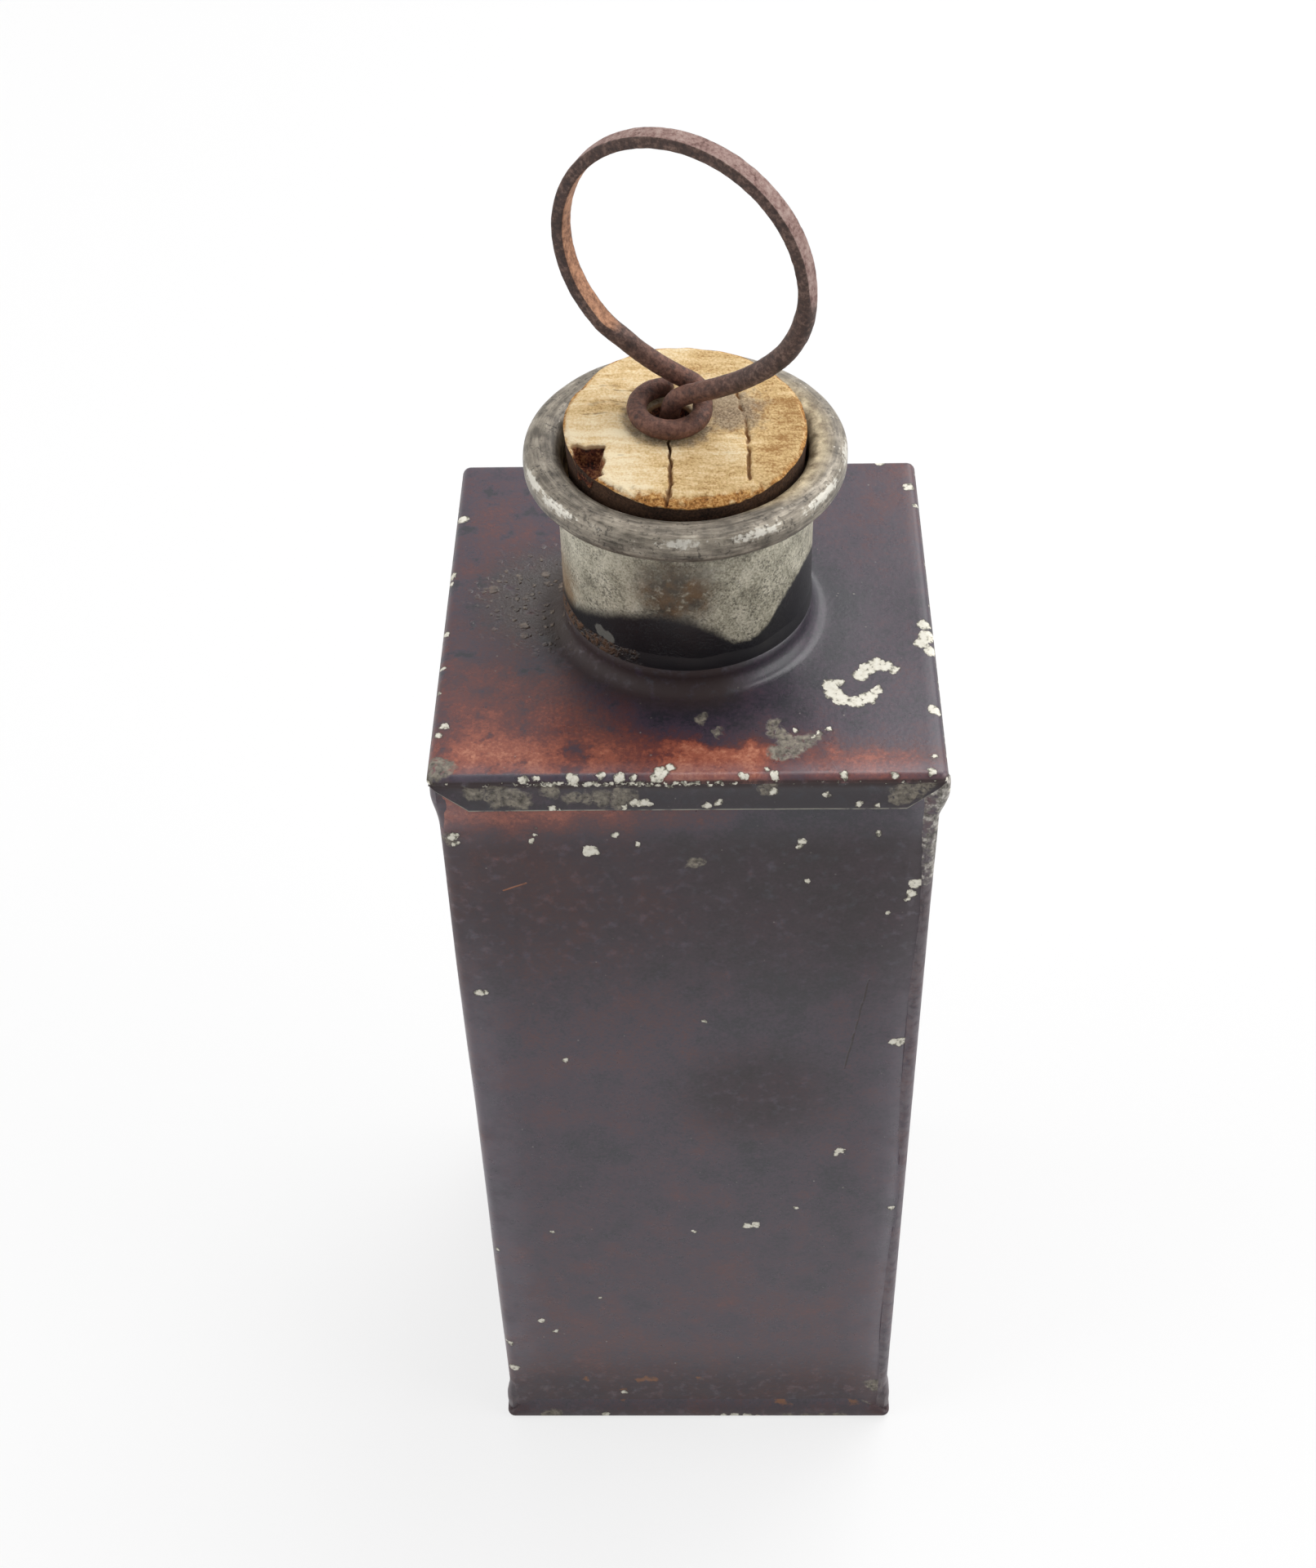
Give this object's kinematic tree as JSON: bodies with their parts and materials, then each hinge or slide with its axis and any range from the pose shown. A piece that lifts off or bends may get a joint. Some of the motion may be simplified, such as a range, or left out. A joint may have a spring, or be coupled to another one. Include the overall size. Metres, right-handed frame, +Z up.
{
  "type": "medical tin",
  "caption": "Square japanned tinplate bottle with a soldered round neck, rolled mouth, cork stopper and wire pull ring.",
  "frame": {"origin": "centre of the underside of the base plate, on the surface the tin stands on", "axes": "+Z up along the neck, -Y out of the front panel, +X to the right seen from the front"},
  "size_m": [0.053, 0.053, 0.179],
  "materials": {
    "japan": "worn brown-black japanning, satin, chipped to bare tin",
    "tinplate": "tarnished grey tinplate, mottled",
    "solder": "dull grey soft solder",
    "iron": "rusted iron wire",
    "cork": "dry cracked cork"
  },
  "bodies": {
    "tin": {"body_wrap": "japan", "shoulder_plate": "japan", "base_plate": "japan", "neck_tube": "tinplate", "rim_wire": "iron", "neck_solder": "solder", "side_seam_solder": "solder", "shoulder_solder_back_right": "solder", "shoulder_solder_back_left": "solder", "shoulder_solder_front_left": "solder", "shoulder_solder_front_right": "solder", "base_solder_front_right": "solder", "base_solder_front_left": "solder", "base_solder_back_left": "solder", "base_solder_back_right": "solder"},
    "stopper": {"cork": "cork"},
    "pull_ring": {"pull_wire": "iron"}
  },
  "joints": [
    {"name": "stopper_pull", "type": "slide", "parent": "tin", "child": "stopper", "axis": [0, 0, 1], "range_m": [0, 0.035]},
    {"name": "ring_swivel", "type": "hinge", "parent": "stopper", "child": "pull_ring", "pos_m": [-0.0015, 0.0008, 0.1467], "axis": [0.0332, -0.0784, 0.9964], "continuous": true}
  ]
}
